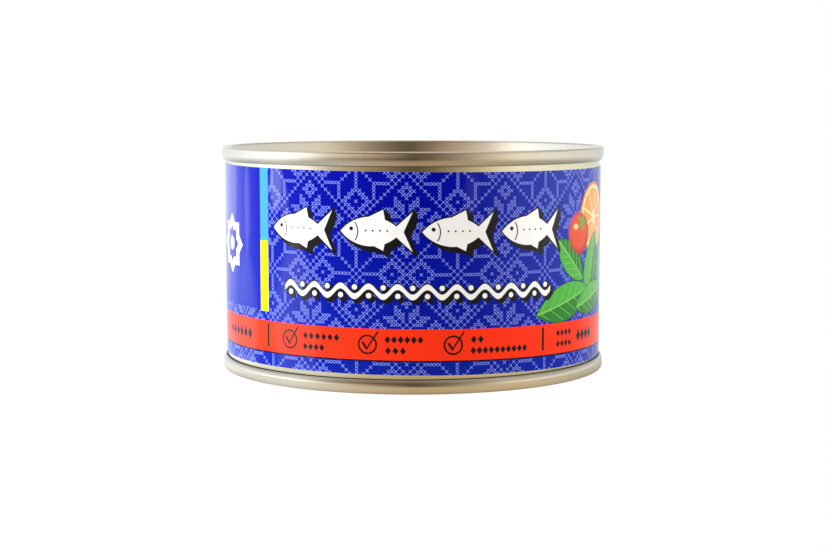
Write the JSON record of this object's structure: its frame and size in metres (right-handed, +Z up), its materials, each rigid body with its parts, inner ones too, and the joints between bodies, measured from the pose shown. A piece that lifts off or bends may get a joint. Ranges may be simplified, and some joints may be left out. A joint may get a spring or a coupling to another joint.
{
  "type": "sardine tin",
  "caption": "Shut round fish tin with double-seamed stamped ends and a printed paper wrap; stands on the crest of its lower seam.",
  "frame": {"origin": "on the floor, under the middle of the tin", "axes": "+Z up along the tin's axis; the wrap's front faces -Y"},
  "size_m": [0.086, 0.086, 0.0496],
  "materials": {
    "body_tinplate": "gold-lacquered tinplate, satin",
    "end_tinplate": "gold-lacquered tinplate, satin",
    "printed_paper": "glossy printed label paper"
  },
  "bodies": {
    "root": {"body": "body_tinplate", "top_end": "end_tinplate", "bottom_end": "end_tinplate", "label": "printed_paper"}
  },
  "joints": []
}
